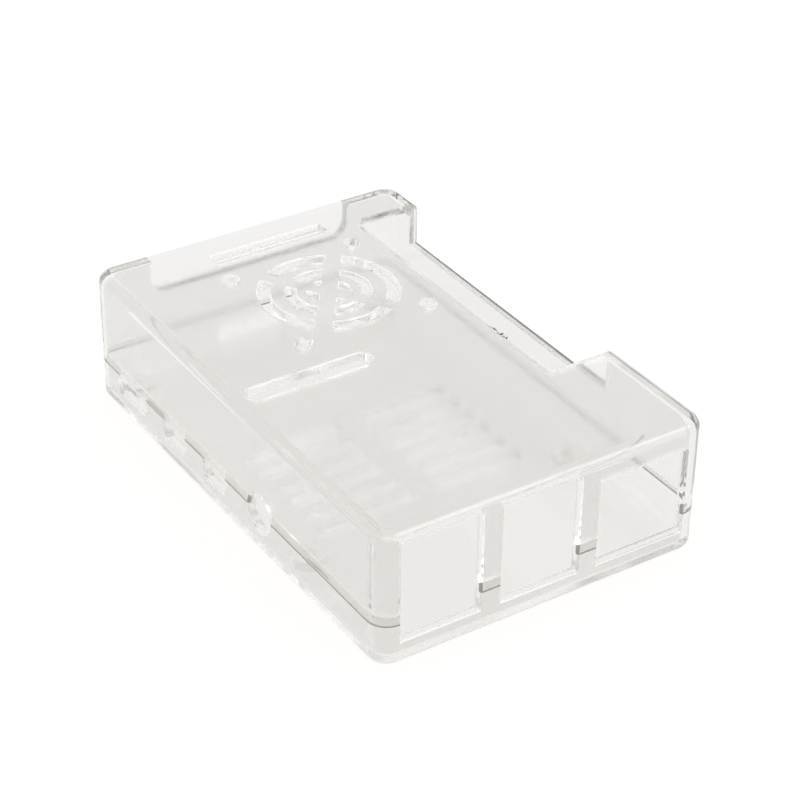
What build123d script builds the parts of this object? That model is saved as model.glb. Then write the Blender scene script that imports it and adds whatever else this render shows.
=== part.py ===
"""Clear moulded case for an 85 x 56 mm single board computer, in millimetres.

The origin is the centre of the underside. +X is the end with the three tall sockets, -X the end
with the memory card, +Y the side with the pin header and -Y the side with the video sockets.
"""
import os

from build123d import *

os.makedirs("parts", exist_ok=True)

# Circuit board that the case is made for
board_length = 85.0
board_width = 56.0
board_thickness = 1.4
board_hole_inset = 3.5
board_hole_span_x = 58.0

# Walls and room round the board
wall = 1.5
floor_thickness = 1.3
plate_thickness = 1.5
side_gap = 0.5
card_end_gap = 0.5
socket_end_gap = 2.5
post_height = 1.8
room_above_board = 18.2
corner_radius = 3.5
top_edge_radius = 1.75
bottom_edge_radius = 1.6
floor_edge_chamfer = 0.6
ceiling_edge_chamfer = 1.1

# Posts under the board
post_diameter = 5.6
pilot_diameter = 2.2
pilot_skin = 0.6

# Tongue of the shell, which goes into a rebate of the cover
tongue_thickness = 0.7
tongue_height = 1.5
tongue_clearance = 0.15

# Catches, a low bead on the tongue and a groove for it in the cover, two on each long side
catch_radius = 0.4
catch_rise = 0.12
catch_length = 5.4
catch_spacing = 52.0
catch_centre_x = 2.0
catch_height = 0.75

# Small chamfer along the rims of the openings
rim_chamfer = 0.25

# Openings for the tall sockets at the +X end, as width and height above the board, from -Y to +Y
usb_opening = (14.2, 17.5)
network_opening = (16.4, 15.1)
socket_row = [usb_opening, usb_opening, network_opening]
sill_drop = 0.2

# Small sockets on the -Y side, each as centre from the board's -X edge and width
power_width = 9.2
video_width = 6.9
port_row = [(11.2, power_width), (26.0, video_width), (39.5, video_width)]
port_corner_radius = 1.2
audio_centre = 54.0
audio_axis_height = 3.0
audio_diameter = 6.8

# Fan grille in the plate, with its centre from the board's -X edge
fan_centre = 25.2
fan_y = 0.4
fan_hole_spacing = 24.0
fan_hole_diameter = 3.2
grille_rings = [(9.9, 11.9), (5.6, 7.2)]
grille_centre_radius = 3.6
spoke_width = 3.2
spoke_angle = 35.0

# Openings in the plate and in the long walls
header_start = 6.8
header_length = 58.2
header_depth = 13.2
header_corner_radius = 2.0
window_sill = 16.0
camera_slot_centre = 46.1
camera_slot_width = 3.5
camera_slot_length = 22.8
camera_slot_inset = 2.7
display_slot_centre = 5.8
display_slot_width = 2.4
display_slot_length = 21.5
end_window_width = 39.5
end_window_corner_radius = 3.0

# Vents in the floor and the memory card's slot
vent_rows = 6
vent_pitch = 4.6
vent_width = 2.0
vent_length = 17.2
vent_columns = 2
vent_column_pitch = 20.9
vent_x = 0.4
vent_y = 0.3
card_slot_width = 14.0
card_slot_height = 4.2
card_slot_corner_radius = 1.0

# Sizes that follow from the board and the walls
inner_length = card_end_gap + board_length + socket_end_gap
inner_width = board_width + 2 * side_gap
inner_radius = corner_radius - wall
case_length = inner_length + 2 * wall
case_width = inner_width + 2 * wall
board_start_x = -inner_length / 2 + card_end_gap
board_start_y = -board_width / 2
board_underside = floor_thickness + post_height
board_top = board_underside + board_thickness
parting_height = board_top + audio_axis_height
ceiling_height = board_top + room_above_board
case_height = ceiling_height + plate_thickness
past = 1.0
fan_x = board_start_x + fan_centre
board_hole_span_y = board_width - 2 * board_hole_inset
post_centre_x = board_start_x + board_hole_inset + board_hole_span_x / 2
tongue_top = parting_height + tongue_height
catch_axis_y = inner_width / 2 + tongue_thickness + catch_rise - catch_radius
socket_gap = (board_width - sum(width for width, height in socket_row)) / len(socket_row)


def rim_edges(face):
    """The edges of the openings in a flat outer face, which are those away from its own border."""
    border = face.bounding_box()

    def inside(value, low, high):
        return high - low < rim_chamfer or low + rim_chamfer < value < high - rim_chamfer

    return face.edges().filter_by(
        lambda edge: inside(edge.center().X, border.min.X, border.max.X)
        and inside(edge.center().Y, border.min.Y, border.max.Y)
        and inside(edge.center().Z, border.min.Z, border.max.Z)
    )


# Outlines of the openings that both pieces share, on the outer faces
with BuildSketch(Plane.YZ.offset(case_length / 2)) as socket_openings:
    socket_start = board_start_y + socket_gap / 2
    for width, height in socket_row:
        with Locations((socket_start + width / 2, board_top + (height - sill_drop) / 2)):
            Rectangle(width, height + sill_drop)
        socket_start += width + socket_gap

with BuildSketch(Plane.XZ.offset(case_width / 2)) as audio_opening:
    with Locations((board_start_x + audio_centre, parting_height)):
        Circle(audio_diameter / 2)

# The shell holds the board on four posts
with BuildPart() as bottom_shell:
    with BuildSketch():
        RectangleRounded(case_length, case_width, corner_radius)
    extrude(amount=parting_height)
    fillet(bottom_shell.faces().sort_by(Axis.Z)[0].edges(), bottom_edge_radius)
    with BuildSketch(Plane.XY.offset(floor_thickness)):
        RectangleRounded(inner_length, inner_width, inner_radius)
    extrude(amount=parting_height - floor_thickness, mode=Mode.SUBTRACT)
    chamfer(bottom_shell.faces().filter_by(Axis.Z).sort_by(Axis.Z)[1].edges(), floor_edge_chamfer)

    # Posts with blind pilot holes
    with BuildSketch(Plane.XY.offset(floor_thickness / 2)):
        with Locations((post_centre_x, 0)):
            with GridLocations(board_hole_span_x, board_hole_span_y, 2, 2):
                Circle(post_diameter / 2)
    extrude(amount=board_underside - floor_thickness / 2)
    with BuildSketch(Plane.XY.offset(pilot_skin)):
        with Locations((post_centre_x, 0)):
            with GridLocations(board_hole_span_x, board_hole_span_y, 2, 2):
                Circle(pilot_diameter / 2)
    extrude(amount=board_underside, mode=Mode.SUBTRACT)

    # Tongue round the inside of the wall
    with BuildSketch(Plane.XY.offset(parting_height)):
        RectangleRounded(
            inner_length + 2 * tongue_thickness,
            inner_width + 2 * tongue_thickness,
            inner_radius + tongue_thickness,
        )
        RectangleRounded(inner_length, inner_width, inner_radius, mode=Mode.SUBTRACT)
    extrude(amount=tongue_height)
    with Locations((catch_centre_x, 0, parting_height + catch_height)):
        with GridLocations(catch_spacing, 2 * catch_axis_y, 2, 2):
            Cylinder(catch_radius, catch_length, rotation=(0, 90, 0))

    # Sockets of the board
    extrude(socket_openings.sketch, amount=wall + past, both=True, mode=Mode.SUBTRACT)
    extrude(audio_opening.sketch, amount=wall + past, both=True, mode=Mode.SUBTRACT)
    with BuildSketch(Plane.XZ.offset(case_width / 2)):
        for centre, width in port_row:
            port_bottom = board_top - sill_drop
            port_top = tongue_top + port_corner_radius + past
            with Locations((board_start_x + centre, (port_bottom + port_top) / 2)):
                RectangleRounded(width, port_top - port_bottom, port_corner_radius)
    extrude(amount=wall + past, both=True, mode=Mode.SUBTRACT)
    chamfer(rim_edges(bottom_shell.faces().filter_by(Axis.X).sort_by(Axis.X)[-1]), rim_chamfer)
    chamfer(rim_edges(bottom_shell.faces().filter_by(Axis.Y).sort_by(Axis.Y)[0]), rim_chamfer)

    # Slot in the end wall for the memory card, level with the floor
    with BuildSketch(Plane.YZ.offset(-case_length / 2)) as card_slot:
        with Locations((0, floor_thickness + card_slot_height / 2)):
            Rectangle(card_slot_width, card_slot_height)
        fillet(card_slot.vertices().group_by(Axis.Y)[-1], card_slot_corner_radius)
    extrude(amount=wall + floor_edge_chamfer, mode=Mode.SUBTRACT)

    # Vents
    with BuildSketch():
        with Locations((vent_x, vent_y)):
            with GridLocations(vent_pitch, vent_column_pitch, vent_rows, vent_columns):
                SlotOverall(vent_length, vent_width, rotation=90)
    extrude(amount=floor_thickness, mode=Mode.SUBTRACT)

bottom_shell.part.label = "bottom_shell"
export_step(bottom_shell.part, "parts/bottom_shell.step")

# The cover drops over the tongue and meets the shell at the parting face
with BuildPart() as top_cover:
    with BuildSketch(Plane.XY.offset(parting_height)):
        RectangleRounded(case_length, case_width, corner_radius)
    extrude(amount=case_height - parting_height)
    fillet(top_cover.faces().sort_by(Axis.Z)[-1].edges(), top_edge_radius)
    with BuildSketch(Plane.XY.offset(parting_height)):
        RectangleRounded(inner_length, inner_width, inner_radius)
    extrude(amount=ceiling_height - parting_height, mode=Mode.SUBTRACT)
    chamfer(top_cover.faces().filter_by(Axis.Z).sort_by(Axis.Z)[-2].edges(), ceiling_edge_chamfer)

    # Rebate for the tongue
    rebate = tongue_thickness + tongue_clearance
    with BuildSketch(Plane.XY.offset(parting_height)):
        RectangleRounded(inner_length + 2 * rebate, inner_width + 2 * rebate, inner_radius + rebate)
    extrude(amount=tongue_height + tongue_clearance, mode=Mode.SUBTRACT)
    with Locations((catch_centre_x, 0, parting_height + catch_height)):
        with GridLocations(catch_spacing, 2 * catch_axis_y, 2, 2):
            Cylinder(
                catch_radius + tongue_clearance,
                catch_length + 2 * tongue_clearance,
                rotation=(0, 90, 0),
                mode=Mode.SUBTRACT,
            )

    # Fan grille with a cross of spokes
    with BuildSketch(Plane.XY.offset(ceiling_height)):
        with Locations((fan_x, fan_y)):
            for inner, outer in grille_rings:
                Circle(outer)
                Circle(inner, mode=Mode.SUBTRACT)
            Circle(grille_centre_radius)
            for angle in (spoke_angle, -spoke_angle):
                Rectangle(3 * grille_rings[0][1], spoke_width, rotation=angle, mode=Mode.SUBTRACT)
    extrude(amount=plate_thickness, mode=Mode.SUBTRACT)

    # Slots for the flat ribbon cables
    with BuildSketch(Plane.XY.offset(ceiling_height)):
        slot_y = -case_width / 2 + camera_slot_inset + camera_slot_length / 2
        with Locations((board_start_x + camera_slot_centre, slot_y)):
            SlotOverall(camera_slot_length, camera_slot_width, rotation=90)
        with Locations((board_start_x + display_slot_centre, 0)):
            Rectangle(display_slot_width, display_slot_length)
    extrude(amount=plate_thickness, mode=Mode.SUBTRACT)
    chamfer(rim_edges(top_cover.faces().filter_by(Axis.Z).sort_by(Axis.Z)[-1]), rim_chamfer)

    # Holes for the fan's screws, which stay sharp under their heads
    with BuildSketch(Plane.XY.offset(ceiling_height)):
        with Locations((fan_x, fan_y)):
            with GridLocations(fan_hole_spacing, fan_hole_spacing, 2, 2):
                Circle(fan_hole_diameter / 2)
    extrude(amount=plate_thickness, mode=Mode.SUBTRACT)

    # Notch over the pin header, through the plate and down the wall
    with BuildSketch(Plane.XY.offset(window_sill)) as header_notch:
        notch_x = board_start_x + header_start + header_length / 2
        with Locations((notch_x, case_width / 2 - header_depth / 2 + past / 2)):
            Rectangle(header_length, header_depth + past)
        fillet(header_notch.vertices().group_by(Axis.Y)[0], header_corner_radius)
    extrude(amount=case_height - window_sill, mode=Mode.SUBTRACT)

    # Window in the card end, under the plate
    with BuildSketch(Plane.YZ.offset(-case_length / 2)) as end_window:
        with Locations((0, (window_sill + ceiling_height) / 2)):
            Rectangle(end_window_width, ceiling_height - window_sill)
        fillet(end_window.vertices().group_by(Axis.Y)[0], end_window_corner_radius)
    extrude(amount=wall + ceiling_edge_chamfer, mode=Mode.SUBTRACT)

    # Sockets of the board
    extrude(socket_openings.sketch, amount=wall + past, both=True, mode=Mode.SUBTRACT)
    extrude(audio_opening.sketch, amount=wall + past, both=True, mode=Mode.SUBTRACT)

    chamfer(rim_edges(top_cover.faces().filter_by(Axis.X).sort_by(Axis.X)[-1]), rim_chamfer)
    chamfer(rim_edges(top_cover.faces().filter_by(Axis.Y).sort_by(Axis.Y)[0]), rim_chamfer)

top_cover.part.label = "top_cover"
export_step(top_cover.part, "parts/top_cover.step")
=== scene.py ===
# %% [markdown]
# # A clear moulded case for a single board computer
#
# The case is two mouldings of clear plastic: a deep cover with a fan grille, and a shallow shell that
# holds the board. Their solids come from the CAD frame, at their real size. What is left for Blender is
# what makes clear plastic believable: how it bends, guides and swallows light, the satin that the core of
# the mould leaves inside, the pale studio round it, and the small dark scars on the notch's edge.
#
# All lengths are in metres. The case stands on z = 0, with its tall sockets towards +X.

# %% Load the frame
import math
import random

import bmesh
import bpy
from mathutils import Matrix, Vector


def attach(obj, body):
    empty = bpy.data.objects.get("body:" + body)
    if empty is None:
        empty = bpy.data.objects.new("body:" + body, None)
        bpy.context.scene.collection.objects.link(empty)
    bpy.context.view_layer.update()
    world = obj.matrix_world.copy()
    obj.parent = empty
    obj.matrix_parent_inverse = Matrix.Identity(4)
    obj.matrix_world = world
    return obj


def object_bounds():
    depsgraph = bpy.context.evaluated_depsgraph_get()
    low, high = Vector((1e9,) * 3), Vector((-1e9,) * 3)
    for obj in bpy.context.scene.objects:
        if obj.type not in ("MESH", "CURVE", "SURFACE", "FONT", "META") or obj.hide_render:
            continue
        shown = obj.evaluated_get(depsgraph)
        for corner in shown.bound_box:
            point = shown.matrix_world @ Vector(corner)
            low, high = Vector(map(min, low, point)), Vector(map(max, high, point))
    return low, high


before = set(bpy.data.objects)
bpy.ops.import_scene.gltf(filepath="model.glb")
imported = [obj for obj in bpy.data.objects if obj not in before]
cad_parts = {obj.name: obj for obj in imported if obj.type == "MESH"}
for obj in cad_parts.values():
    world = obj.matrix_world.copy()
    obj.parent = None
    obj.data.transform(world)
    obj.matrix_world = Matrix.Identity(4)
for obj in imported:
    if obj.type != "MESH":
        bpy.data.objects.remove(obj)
cad_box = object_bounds()
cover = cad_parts["top_cover"]
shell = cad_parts["bottom_shell"]
MM = 0.001
case_low, case_high = cad_box
print("nodes:", sorted(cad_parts), "size:", [round(b - a, 4) for a, b in zip(case_low, case_high)])

# %% [markdown]
# ## The camera
#
# The photograph was taken with a long lens from above one corner, so the edges hardly converge. A camera
# is a frame of three directions: right, up and back, towards the photographer. They could be set as
# three Euler angles, but worked out from the turn and the height of the view they can be checked by
# thinking. A small roll tips the picture, as it does when a camera is held by hand.

# %% Camera
view_turn = math.radians(56.74)
view_height = math.radians(33.02)
view_roll = math.radians(0.86)
view_distance = 0.3948
case_right_of_centre = -0.00259
case_above_centre = -0.01066
picture_side = 800
focal_length_in_pixels = 2367.6
sensor_side = 36.0


def view_axes(turn, height, roll):
    """Right, up and back of a camera that looks at the case from that turn and height."""
    level = math.cos(height)
    back = Vector((math.sin(turn) * level, -math.cos(turn) * level, math.sin(height)))
    level_right = Vector((0, 0, 1)).cross(back).normalized()
    level_up = back.cross(level_right)
    right = math.cos(roll) * level_right + math.sin(roll) * level_up
    up = math.cos(roll) * level_up - math.sin(roll) * level_right
    return right, up, back


right, up, back = view_axes(view_turn, view_height, view_roll)
camera = bpy.data.objects.new("camera", bpy.data.cameras.new("camera"))
camera.data.sensor_width = sensor_side
camera.data.lens = focal_length_in_pixels / picture_side * sensor_side
camera.matrix_world = Matrix((right, up, back)).transposed().to_4x4()
camera.location = -case_right_of_centre * right - case_above_centre * up + view_distance * back
camera.data.clip_start = 0.01
camera.data.clip_end = 20
bpy.context.scene.collection.objects.link(camera)
bpy.context.scene.camera = camera
print("lens:", round(camera.data.lens, 1), "mm, at", [round(v, 4) for v in camera.location])

# %% [markdown]
# ## Helpers for node trees
#
# A material is a tree of nodes joined by wires. Written out in full, each node takes four or five lines.
# `add_node` makes a node in one call: an input is given as a number, a colour, or another node's output,
# and an output becomes a wire. `math_node` does the same for one sum, and `smooth_step` for a soft ramp.

# %% Node helpers


def add_node(tree, kind, inputs=None, **settings):
    """A new node. An input is a number, a colour, or the output of another node."""
    node = tree.nodes.new(kind)
    for name, value in settings.items():
        setattr(node, name, value)
    for name, value in (inputs or {}).items():
        if isinstance(value, bpy.types.NodeSocket):
            tree.links.new(value, node.inputs[name])
        else:
            node.inputs[name].default_value = value
    return node


def math_node(tree, operation, first, second=0.0):
    """The output of a Math node."""
    return add_node(tree, "ShaderNodeMath", {0: first, 1: second}, operation=operation).outputs[0]


def smooth_step(tree, value, start, end, low=0.0, high=1.0):
    """Goes from low to high without a corner, while the value goes from start to end."""
    inputs = {"Value": value, "From Min": start, "From Max": end, "To Min": low, "To Max": high}
    return add_node(tree, "ShaderNodeMapRange", inputs, interpolation_type="SMOOTHSTEP").outputs["Result"]


def new_group(name, inputs, outputs):
    """An empty shader node group with its sockets, and its input and output nodes."""
    group = bpy.data.node_groups.new(name, "ShaderNodeTree")
    for socket, value in inputs.items():
        entry = group.interface.new_socket(socket, in_out="INPUT", socket_type="NodeSocketFloat")
        entry.default_value = value
    for socket in outputs:
        group.interface.new_socket(socket, in_out="OUTPUT", socket_type="NodeSocketFloat")
    return group, group.nodes.new("NodeGroupInput"), group.nodes.new("NodeGroupOutput")


def new_material(name):
    """An empty material, and its tree."""
    material = bpy.data.materials.new(name)
    material.use_nodes = True
    material.node_tree.nodes.clear()
    return material, material.node_tree


def put_on(piece, material):
    """Gives every slot of a piece one material."""
    if not piece.material_slots:
        piece.data.materials.append(material)
    for slot in piece.material_slots:
        slot.material = material


print("helpers for node trees are ready")

# %% [markdown]
# ## The surface of a clear moulding
#
# A mould for a clear part is polished where the eye meets it. Its core, which makes the inside, is left
# a shade rougher so that the part comes off it, and that veils what lies behind. Both sides have faint
# waves where the plastic shrank. The veil could be painted by face, but the solids come from CAD and
# keep their faces. So the group asks where a point is: a point deeper than the wall is on the core's
# side. The waves go to a Bump node, and a fine noise keeps the roughness from being one flat number.

# %% Moulded surface group
wall = 1.5 * MM
polished = 0.05
satin = 0.13
wave_scale = 90.0
wave_detail = 2.0
mottle_scale = 420.0
mottle_detail = 4.0
mottle_spread = 0.25
noise_low = 0.3
noise_high = 0.7


def moulded_surface():
    """Roughness and waves of a moulding: polished outside, satin where the core of the mould was."""
    reaches = {"Core Length": 0.0, "Core Width": 0.0, "Core Bottom": 0.0, "Core Top": 0.0}
    inputs = {"Polished": polished, "Satin": satin, **reaches}
    group, given, result = new_group("moulded_surface", inputs, ["Roughness", "Height"])
    place = add_node(group, "ShaderNodeTexCoord").outputs["Object"]
    along = add_node(group, "ShaderNodeSeparateXYZ", {"Vector": place}).outputs
    from_middle = [math_node(group, "ABSOLUTE", along[axis]) for axis in ("X", "Y")]
    core = math_node(group, "LESS_THAN", from_middle[0], given.outputs["Core Length"])
    for other in (
        math_node(group, "LESS_THAN", from_middle[1], given.outputs["Core Width"]),
        math_node(group, "GREATER_THAN", along["Z"], given.outputs["Core Bottom"]),
        math_node(group, "LESS_THAN", along["Z"], given.outputs["Core Top"]),
    ):
        core = math_node(group, "MULTIPLY", core, other)
    ends = {"Value": core, "To Min": given.outputs["Polished"], "To Max": given.outputs["Satin"]}
    level = add_node(group, "ShaderNodeMapRange", ends).outputs["Result"]
    noise = {"Vector": place, "Scale": mottle_scale, "Detail": mottle_detail}
    mottle = add_node(group, "ShaderNodeTexNoise", noise).outputs["Fac"]
    ends = {
        "Value": mottle,
        "From Min": noise_low,
        "From Max": noise_high,
        "To Min": 1 - mottle_spread,
        "To Max": 1 + mottle_spread,
    }
    spread = add_node(group, "ShaderNodeMapRange", ends).outputs["Result"]
    noise = {"Vector": place, "Scale": wave_scale, "Detail": wave_detail}
    waves = add_node(group, "ShaderNodeTexNoise", noise)
    group.links.new(math_node(group, "MULTIPLY", level, spread), result.inputs["Roughness"])
    group.links.new(waves.outputs["Fac"], result.inputs["Height"])
    return group


surface_group = moulded_surface()
print("group:", surface_group.name, "with", len(surface_group.nodes), "nodes")

# %% [markdown]
# ## Clear plastic
#
# Acrylic has an index of 1.49 and polystyrene of 1.59, and the case could be either, so it has 1.5. A
# shader can't know that the tent shines through the case to the table: left alone it would throw the
# shadow of a brick. So rays on their way to a light, and rays that the table sends up, pass straight
# through, a little dimmed at each face. The dimming is what makes the table darker under the floor than
# under its vents, so that the vents can be seen.
#
# On white paper in a white tent, plastic that took no light at all would vanish. So its colour is a pale
# grey, and each face that a ray crosses takes a share: a stack of walls is greyer than one.
#
# Inside, the plastic swallows a little light and scatters a little more, as a faint haze. Neither shows
# across a wall, but light that a plate guides to its edge has come a long way: the first keeps the rims
# from glaring, and the second keeps a ray that never finds its way out from ending black. Scatter in a
# volume would be the true way. Here the scattered light is painted instead: each face glows very faintly,
# about a hundredth, which is simpler.

# %% Clear plastic
plastic_colour = (0.845, 0.84, 0.83, 1.0)
swallowed_colour = (0.35, 0.3, 0.2, 1.0)
swallowed_for_each_metre = 2.0
dimmed_at_each_face = (0.984, 0.981, 0.976, 1.0)
index_of_plastic = 1.5
# painted light: each face of the plastic glows faintly in place of the light that the haze scatters
haze_glow_colour = (1.0, 0.99, 0.97, 1.0)
haze_glow_at_each_face = 0.013
wave_strength = 0.15
wave_depth = 0.2 * MM
core_margin = 0.1 * MM
floor_of_shell = 1.3 * MM
parting_height = 7.5 * MM


def clear_plastic(name, core_bottom, core_top):
    """Clear plastic that lets the tent's light through to the table."""
    material, tree = new_material(name)
    reaches = {
        "Core Length": case_high[0] - wall + core_margin,
        "Core Width": case_high[1] - wall + core_margin,
        "Core Bottom": core_bottom,
        "Core Top": core_top,
    }
    surface = add_node(tree, "ShaderNodeGroup", reaches, node_tree=surface_group)
    waves = {"Height": surface.outputs["Height"], "Strength": wave_strength, "Distance": wave_depth}
    bump = add_node(tree, "ShaderNodeBump", waves)
    plastic = add_node(
        tree,
        "ShaderNodeBsdfPrincipled",
        {
            "Base Color": plastic_colour,
            "Roughness": surface.outputs["Roughness"],
            "IOR": index_of_plastic,
            "Transmission Weight": 1.0,
            # painted light: a faint glow of each face stands in for scattered light
            "Emission Color": haze_glow_colour,
            "Emission Strength": haze_glow_at_each_face,
            "Normal": bump.outputs["Normal"],
        },
    )
    clear = add_node(tree, "ShaderNodeBsdfTransparent", {"Color": dimmed_at_each_face})
    path = add_node(tree, "ShaderNodeLightPath")
    mix = plastic.outputs["BSDF"]
    for ray in ("Is Diffuse Ray", "Is Shadow Ray"):
        inputs = {0: path.outputs[ray], 1: mix, 2: clear.outputs["BSDF"]}
        mix = add_node(tree, "ShaderNodeMixShader", inputs).outputs["Shader"]
    loss = {"Color": swallowed_colour, "Density": swallowed_for_each_metre}
    inside = add_node(tree, "ShaderNodeVolumeAbsorption", loss)
    add_node(tree, "ShaderNodeOutputMaterial", {"Surface": mix, "Volume": inside.outputs["Volume"]})
    return material


core_start = parting_height + core_margin
put_on(cover, clear_plastic("cover_plastic", core_start, case_high[2] - wall + core_margin))
put_on(shell, clear_plastic("shell_plastic", floor_of_shell - core_margin, core_start))
print("clear plastic on", cover.name, "and", shell.name)

# %% [markdown]
# ## Scars on the notch's edge
#
# A ragged row of small dark flecks sits on the upper edge of the notch. They could be dirt, or plastic
# that tore when the notch was freed, and here they are built as tears. They are under half a millimetre
# thick, but they are the darkest thing on the case, so the eye goes straight to them. Each is a bent
# sliver: a few rings of points round a line that wanders, thin at the root and thick near the tip.
# Chance shapes them, from a fixed seed, so that every run gives the same tears.

# %% Scars
notch_edge_y = 16.8 * MM
tear_root_depth = 0.15 * MM
tear_sides = 6
tear_rings = 7
tear_seed = 4
# the tip lies this share of the thickness under the plate's top, and the root a whole thickness
tip_sink = 0.6
root_share = 0.2
thickest_toward_tip = 1.6
ring_range = (0.85, 1.1)
wander_range = (-0.2, 0.2)
point_range = (0.8, 1.0)
scar_dark = (0.012, 0.011, 0.01, 1.0)
scar_pale = (0.09, 0.085, 0.08, 1.0)
blotch_scale = 2500.0
blotch_detail = 3.0
scar_smoothest = 0.45
scar_roughest = 0.7
tears = [
    # place along X, lean along X, reach into the notch and thickness, all in millimetres
    (5.0, 1.3, 0.50, 0.34),
    (6.3, 0.7, 0.34, 0.16),
    (7.3, 0.2, 0.30, 0.42),
    (7.95, 0.2, 0.12, 0.36),
    (7.65, 0.3, 0.80, 0.36),
    (8.5, 0.3, 0.45, 0.34),
    (9.1, 0.2, 0.70, 0.46),
    (18.0, 0.2, 0.05, 0.2),
]


def tear(mesh, place, lean, reach, thickness, chance):
    """One sliver that grows out of the notch's edge, thin at its root and thick near its tip."""
    root = Vector((place, notch_edge_y - tear_root_depth, case_high[2] - thickness))
    tip = Vector((place + lean, notch_edge_y + reach, case_high[2] - tip_sink * thickness))
    along = (tip - root).normalized()
    side = along.cross(Vector((0, 0, 1))).normalized()
    lift = side.cross(along)
    rings = []
    for ring in range(tear_rings):
        share = ring / (tear_rings - 1)
        swell = root_share + (1 - root_share) * math.sin(math.pi * share**thickest_toward_tip)
        radius = thickness / 2 * swell * chance.uniform(*ring_range)
        centre = root.lerp(tip, share) + side * chance.uniform(*wander_range) * thickness
        points = []
        for step in range(tear_sides):
            angle = 2 * math.pi * step / tear_sides
            out = math.cos(angle) * side + math.sin(angle) * lift
            points.append(mesh.verts.new(centre + out * radius * chance.uniform(*point_range)))
        rings.append(points)
    for first, second in zip(rings, rings[1:]):
        for step in range(tear_sides):
            after = (step + 1) % tear_sides
            mesh.faces.new((first[step], first[after], second[after], second[step]))
    mesh.faces.new(rings[0])
    mesh.faces.new(rings[-1])


def mix_colours(tree, share, first, second):
    """A colour between two others. Blender's Mix node keeps colours at inputs 6 and 7 and output 2."""
    inputs = {0: share, 6: first, 7: second}
    return add_node(tree, "ShaderNodeMix", inputs, data_type="RGBA").outputs[2]


def scar_plastic():
    """The dark, dull, blotchy stuff of the flecks."""
    material, tree = new_material("scar_plastic")
    place = add_node(tree, "ShaderNodeTexCoord").outputs["Object"]
    noise = {"Vector": place, "Scale": blotch_scale, "Detail": blotch_detail}
    blotches = add_node(tree, "ShaderNodeTexNoise", noise).outputs["Fac"]
    colour = mix_colours(tree, blotches, scar_dark, scar_pale)
    rough = smooth_step(tree, blotches, noise_low, noise_high, scar_smoothest, scar_roughest)
    surface = add_node(tree, "ShaderNodeBsdfPrincipled", {"Base Color": colour, "Roughness": rough})
    add_node(tree, "ShaderNodeOutputMaterial", {"Surface": surface.outputs["BSDF"]})
    return material


chance = random.Random(tear_seed)
shapes = bmesh.new()
for sizes in tears:
    tear(shapes, *(size * MM for size in sizes), chance)
bmesh.ops.recalc_face_normals(shapes, faces=shapes.faces)
scar_mesh = bpy.data.meshes.new("notch_scars")
shapes.to_mesh(scar_mesh)
shapes.free()
scars = bpy.data.objects.new("notch_scars", scar_mesh)
bpy.context.scene.collection.objects.link(scars)
put_on(scars, scar_plastic())
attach(scars, "cover")
print("scars:", len(tears), "tears,", len(scar_mesh.polygons), "faces")

# %% [markdown]
# ## The table
#
# A clear thing is mostly a picture of what is round it, so the table matters as much as the plastic. It
# is white paper. A stronger lamp would make it a clean white, but it would burn out the case too. So the
# paper also glows a little, though only for the rays that show it: to the camera, in a mirror or through
# plastic. `seen_rays` tells these from the rays that only carry light. The glow is small near the case,
# and the shadow stays. Far off, the paper sends up less light and the glow makes up for it, so that no
# grey horizon shows.

# %% Table
table_side = 6.0
table_gap = 0.02 * MM
paper_colour = (0.965, 0.96, 0.955, 1.0)
fade_start = 0.18
fade_end = 0.6
far_paper_share = 0.35
# what the share of paper and the strength of its glow add up to, at every distance
paper_and_glow = 1.22


def seen_rays(tree):
    """1 for a ray that shows a thing: to the camera, in a mirror, or through plastic."""
    path = add_node(tree, "ShaderNodeLightPath").outputs
    in_plastic = math_node(tree, "MAXIMUM", path["Is Glossy Ray"], path["Is Transmission Ray"])
    return math_node(tree, "MAXIMUM", path["Is Camera Ray"], in_plastic)


def table_paper():
    """White paper, with a glow that grows as the paper fades."""
    material, tree = new_material("table_paper")
    place = add_node(tree, "ShaderNodeTexCoord").outputs["Object"]
    distance = add_node(tree, "ShaderNodeVectorMath", {0: place}, operation="LENGTH").outputs["Value"]
    near = smooth_step(tree, distance, fade_start, fade_end, 1.0, far_paper_share)
    sheet = add_node(tree, "ShaderNodeVectorMath", {0: paper_colour[:3], "Scale": near}, operation="SCALE")
    paper = add_node(tree, "ShaderNodeBsdfDiffuse", {"Color": sheet.outputs["Vector"]})
    missing = math_node(tree, "SUBTRACT", paper_and_glow, near)
    strength = math_node(tree, "MULTIPLY", seen_rays(tree), missing)
    glow = add_node(tree, "ShaderNodeEmission", {"Strength": strength})
    both = add_node(tree, "ShaderNodeAddShader", {0: glow.outputs["Emission"], 1: paper.outputs["BSDF"]})
    add_node(tree, "ShaderNodeOutputMaterial", {"Surface": both.outputs["Shader"]})
    return material


table_mesh = bpy.data.meshes.new("table")
half = table_side / 2
corners = [(-half, -half, 0), (half, -half, 0), (half, half, 0), (-half, half, 0)]
table_mesh.from_pydata(corners, [], [(0, 1, 2, 3)])
table = bpy.data.objects.new("table", table_mesh)
table.location.z = -table_gap
bpy.context.scene.collection.objects.link(table)
put_on(table, table_paper())
print("table:", table_side, "m wide")

# %% [markdown]
# ## The studio
#
# The case stands in a white tent, which lights it evenly and gives it no hard shadow. Area lamps could
# stand in for the tent, but the plastic would then show their outlines. So the tent is the world. It is
# white wherever it is seen, also through the plastic, and a little less than white as light. Two soft
# glows in it are brighter than white, and only what mirrors or bends light shows them: a key behind the
# socket end, which draws the bright line along its top edge, and a front light beside the camera.

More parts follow.
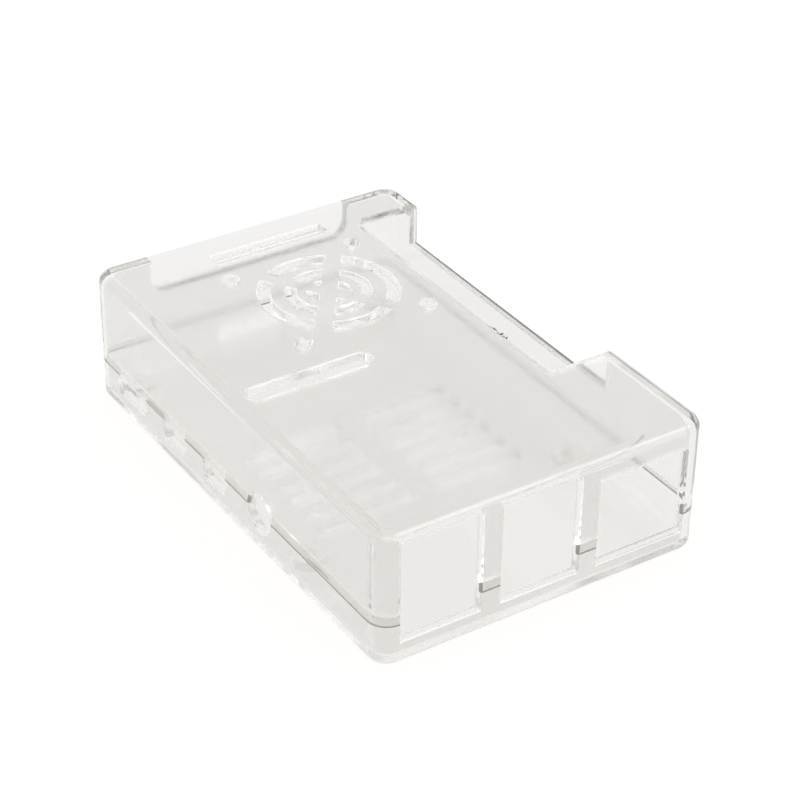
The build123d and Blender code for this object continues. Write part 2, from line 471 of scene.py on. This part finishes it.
# %% Studio
tent_light = 0.835
white = (1.0, 1.0, 1.0, 1.0)
# where each glow is, its inner and outer radius in degrees, and how much brighter it is
glows = {
    "key": ((0.545, 0.46, 0.70), 9, 18, 2.6),
    "front": ((0.70, -0.46, 0.545), 18, 40, 1.1),
}


def glow_patch(tree, direction, toward, inner, outer):
    """1 within inner degrees of a direction, falling to 0 at outer degrees."""
    aim = Vector(toward).normalized()
    axis = {0: direction, 1: aim}
    along = add_node(tree, "ShaderNodeVectorMath", axis, operation="DOT_PRODUCT").outputs["Value"]
    return smooth_step(tree, along, math.cos(math.radians(outer)), math.cos(math.radians(inner)))


def studio_tent():
    """White with its glows where it is seen, and plain as light."""
    world = bpy.data.worlds.new("studio_tent")
    world.use_nodes = True
    tree = world.node_tree
    tree.nodes.clear()
    direction = add_node(tree, "ShaderNodeTexCoord").outputs["Generated"]
    level = 1.0
    for toward, inner, outer, brighter in glows.values():
        shape = glow_patch(tree, direction, toward, inner, outer)
        patch = math_node(tree, "MULTIPLY", shape, brighter)
        level = math_node(tree, "ADD", level, patch)
    light = add_node(tree, "ShaderNodeBackground", {"Color": white, "Strength": tent_light})
    sight = add_node(tree, "ShaderNodeBackground", {"Color": white, "Strength": level})
    inputs = {0: seen_rays(tree), 1: light.outputs["Background"], 2: sight.outputs["Background"]}
    mix = add_node(tree, "ShaderNodeMixShader", inputs)
    add_node(tree, "ShaderNodeOutputWorld", {"Surface": mix.outputs["Shader"]})
    return world


scene = bpy.context.scene
scene.world = studio_tent()
print("glows:", ", ".join(glows))

# %% [markdown]
# ## How far a ray is followed
#
# A ray that looks into the near corner goes through eight or more faces before it meets the paper, and
# one that a wall guides turns many times. Blender gives up after 12 turns and returns black, which
# would ink in every corner. A higher limit lets them arrive.

# %% View and bounces
longest_path = 40
scene.view_settings.view_transform = "Standard"
for kind in ("max_bounces", "transmission_bounces", "glossy_bounces", "transparent_max_bounces"):
    setattr(scene.cycles, kind, longest_path)
print("a ray is followed for", longest_path, "turns")
